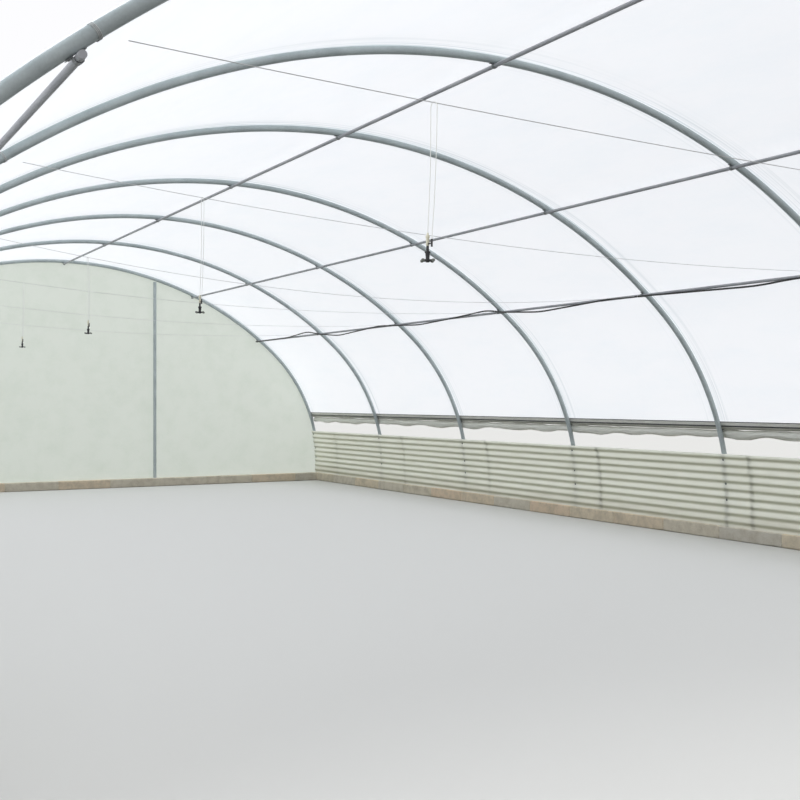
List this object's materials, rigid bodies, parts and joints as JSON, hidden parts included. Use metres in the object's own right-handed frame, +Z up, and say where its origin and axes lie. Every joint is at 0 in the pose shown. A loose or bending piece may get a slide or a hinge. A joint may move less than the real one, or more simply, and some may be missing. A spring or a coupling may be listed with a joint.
{
  "type": "tunnel greenhouse",
  "caption": "Tunnel greenhouse of bent round-tube hoops under clear film, with corrugated side sheets on block kerbs, open vent strips with rolled curtains and foggers hung from tie lines.",
  "frame": {"origin": "on the ground, in the middle of the tunnel's width and length", "axes": "+Y along the tunnel from the open end to the closed end, +Z up, X across the tunnel"},
  "size_m": [8.2754, 13.6, 3.3571],
  "materials": {
    "hoop_tube": "galvanised, dull",
    "purlin_tube": "galvanised, dull",
    "clip_steel": "galvanised, dull",
    "cover_film": "translucent, soft sheen",
    "end_film": "translucent, aged",
    "lock_channel": "mill finish",
    "vent_tube": "galvanised, dull",
    "curtain_film": "crumpled film",
    "side_sheet": "satin",
    "kerb_block": "rough",
    "tie_wire": "smooth",
    "dropper_tube": "smooth",
    "fogger_connector": "satin",
    "fogger": "satin",
    "hose": "matt"
  },
  "bodies": {
    "root": {"end_film": "end_film", "end_kerb": "kerb_block", "fogger_connectors": "fogger_connector", "fogger_droppers": "dropper_tube", "fogger_hooks": "fogger", "foggers": "fogger", "hoop_1": "hoop_tube", "hoop_2": "hoop_tube", "hoop_3": "hoop_tube", "hoop_4": "hoop_tube", "hoop_5": "hoop_tube", "hoop_6": "hoop_tube", "hoop_7": "hoop_tube", "left_curtain": "curtain_film", "left_end_post": "hoop_tube", "left_kerb": "kerb_block", "left_lock_channel": "lock_channel", "left_low_clips": "clip_steel", "left_low_purlin": "purlin_tube", "left_side_sheet": "side_sheet", "left_vent_clips": "clip_steel", "left_vent_tube": "vent_tube", "ridge_clips": "clip_steel", "ridge_purlin": "purlin_tube", "right_curtain": "curtain_film", "right_end_post": "hoop_tube", "right_kerb": "kerb_block", "right_lock_channel": "lock_channel", "right_low_clips": "clip_steel", "right_low_purlin": "purlin_tube", "right_mid_clips": "clip_steel", "right_mid_purlin": "purlin_tube", "right_side_sheet": "side_sheet", "right_vent_clips": "clip_steel", "right_vent_tube": "vent_tube", "roof_film": "cover_film", "tie_lines": "tie_wire", "water_hose": "hose"}
  },
  "joints": []
}
